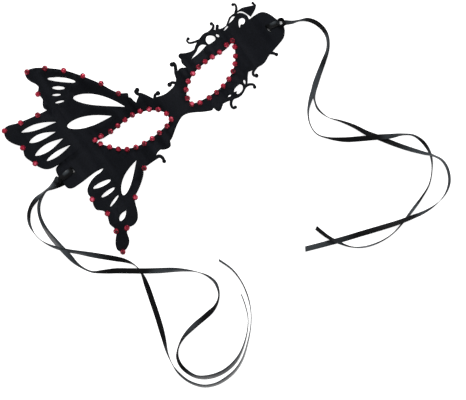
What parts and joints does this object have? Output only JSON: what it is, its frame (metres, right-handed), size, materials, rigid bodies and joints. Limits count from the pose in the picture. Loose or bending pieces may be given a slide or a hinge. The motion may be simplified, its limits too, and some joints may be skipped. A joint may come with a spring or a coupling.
{
  "type": "butterfly half mask",
  "caption": "One-sided butterfly half mask of cut black leather with scrollwork, red glass stones round the eyes and wings, and black satin ribbon ties at both temples.",
  "frame": {"origin": "middle of the box round leather and stones in plan, on the flat surface the mask lies on", "axes": "+X across the face towards the end without the butterfly, +Y up the face towards the brow, +Z out of the face"},
  "size_m": [0.2801, 0.2774, 0.0241],
  "materials": {
    "leather": "matte",
    "stone": "faceted, foil-backed",
    "ribbon": "satin"
  },
  "bodies": {
    "root": {"leather_mask": "leather", "stone_forewing_01": "stone", "stone_forewing_02": "stone", "stone_forewing_03": "stone", "stone_forewing_04": "stone", "stone_forewing_05": "stone", "stone_forewing_06": "stone", "stone_forewing_07": "stone", "stone_hindwing_01": "stone", "stone_hindwing_02": "stone", "stone_hindwing_03": "stone", "stone_hindwing_04": "stone", "stone_hindwing_05": "stone", "stone_left_eye_01": "stone", "stone_left_eye_02": "stone", "stone_left_eye_03": "stone", "stone_left_eye_04": "stone", "stone_left_eye_05": "stone", "stone_left_eye_06": "stone", "stone_left_eye_07": "stone", "stone_left_eye_08": "stone", "stone_left_eye_09": "stone", "stone_left_eye_10": "stone", "stone_left_eye_11": "stone", "stone_left_eye_12": "stone", "stone_left_eye_13": "stone", "stone_left_eye_14": "stone", "stone_left_eye_15": "stone", "stone_left_eye_16": "stone", "stone_left_eye_17": "stone", "stone_left_eye_18": "stone", "stone_left_eye_19": "stone", "stone_left_eye_20": "stone", "stone_lower_wing_01": "stone", "stone_lower_wing_02": "stone", "stone_lower_wing_03": "stone", "stone_lower_wing_04": "stone", "stone_lower_wing_05": "stone", "stone_right_eye_01": "stone", "stone_right_eye_02": "stone", "stone_right_eye_03": "stone", "stone_right_eye_04": "stone", "stone_right_eye_05": "stone", "stone_right_eye_06": "stone", "stone_right_eye_07": "stone", "stone_right_eye_08": "stone", "stone_right_eye_09": "stone", "stone_right_eye_10": "stone", "stone_right_eye_11": "stone", "stone_right_eye_12": "stone", "stone_right_eye_13": "stone", "stone_right_eye_14": "stone", "stone_right_eye_15": "stone", "stone_right_eye_16": "stone", "stone_right_eye_17": "stone", "stone_right_eye_18": "stone", "stone_right_eye_19": "stone", "stone_right_eye_20": "stone", "ribbon_left": "ribbon", "ribbon_right": "ribbon"}
  },
  "joints": []
}
